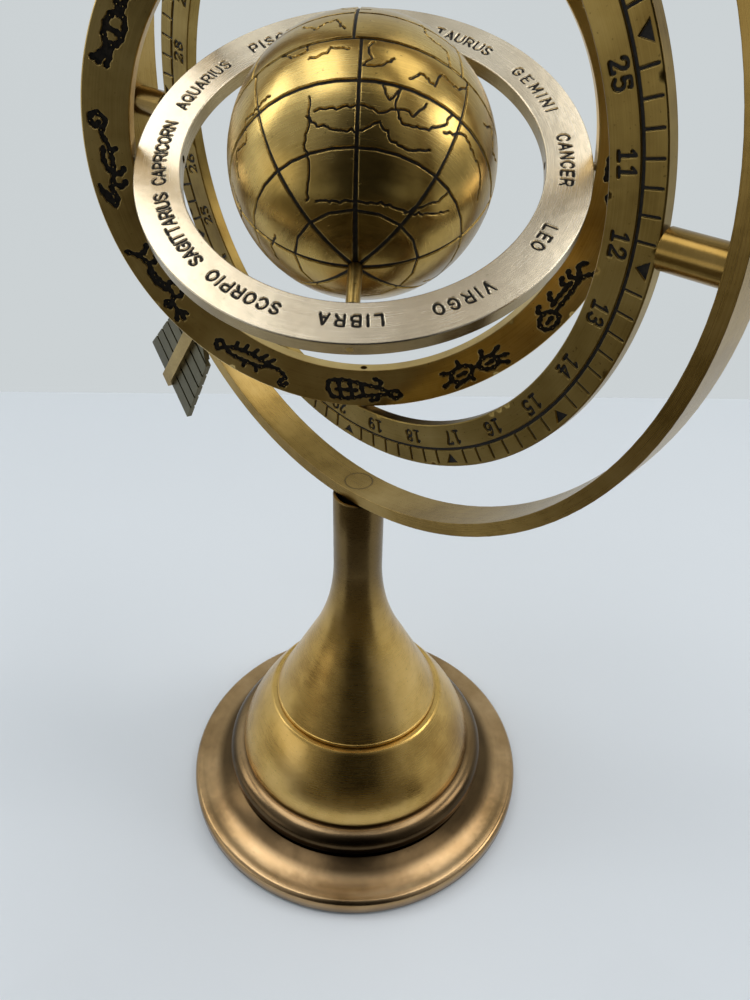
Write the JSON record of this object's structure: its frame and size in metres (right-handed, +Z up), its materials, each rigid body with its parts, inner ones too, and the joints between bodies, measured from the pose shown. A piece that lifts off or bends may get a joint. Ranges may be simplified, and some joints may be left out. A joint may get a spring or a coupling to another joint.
{
  "type": "armillary sphere",
  "caption": "Desk armillary sphere on a turned trumpet stem: three pivoted rings and an engraved globe turn inside a fixed outer ring carrying an arrow.",
  "frame": {"origin": "centre of the felt underside of the foot, on the table", "axes": "+Z up the stem; +X along the hour ring's pivot axis, in the outer ring's plane; +Y square to the outer ring"},
  "size_m": [0.1986, 0.12, 0.3348],
  "materials": {
    "antique_brass": "brushed antique brass, satin lacquer",
    "rosy_brass": "satin antique brass, a little rosier",
    "dark_brass": "dark antique brass, engraved marks filled black",
    "bright_brass": "pale brass, brushed round the ring",
    "globe_brass": "burnished antique brass, engraved lines filled black",
    "steel": "turned steel",
    "felt": "dark green wool felt"
  },
  "bodies": {
    "stand": {"foot": "rosy_brass", "felt_pad": "felt", "bead_ring": "rosy_brass", "bell": "antique_brass", "trumpet_stem": "antique_brass", "stem_bush": "dark_brass", "tie_rod": "steel", "tie_washer": "steel", "tie_nut": "steel", "ring_post": "antique_brass", "outer_ring": "antique_brass", "near_pivot_post": "antique_brass", "far_pivot_post": "antique_brass", "near_pivot_pin": "steel", "far_pivot_pin": "steel", "arrow_tail_shaft": "antique_brass", "arrow_vane_left": "antique_brass", "arrow_vane_right": "antique_brass", "arrow_head_shaft": "antique_brass", "arrow_head": "antique_brass"},
    "hour_body": {"hour_ring": "antique_brass", "upper_hour_pin": "steel", "lower_hour_pin": "steel"},
    "figures_body": {"figures_ring": "dark_brass", "left_figures_pin": "steel", "right_figures_pin": "steel"},
    "names_body": {"names_ring": "bright_brass"},
    "globe_body": {"globe_front_half": "globe_brass", "globe_back_half": "globe_brass", "globe_axle": "bright_brass", "globe_front_sleeve": "bright_brass", "globe_back_sleeve": "bright_brass"}
  },
  "joints": [
    {"name": "hour_ring_turn", "type": "hinge", "parent": "stand", "child": "hour_body", "pos_m": [0, 0, 0.2199], "axis": [1, 0, 0], "continuous": true},
    {"name": "figures_ring_turn", "type": "hinge", "parent": "hour_body", "child": "figures_body", "pos_m": [0, 0, 0.2199], "axis": [0, -0.0262, 0.9997], "continuous": true},
    {"name": "names_ring_turn", "type": "hinge", "parent": "figures_body", "child": "names_body", "pos_m": [0, 0, 0.2199], "axis": [-0.7501, -0.6611, -0.0173], "continuous": true},
    {"name": "globe_spin", "type": "hinge", "parent": "names_body", "child": "globe_body", "pos_m": [0, 0, 0.2199], "axis": [0.5887, -0.6556, -0.4729], "continuous": true}
  ]
}
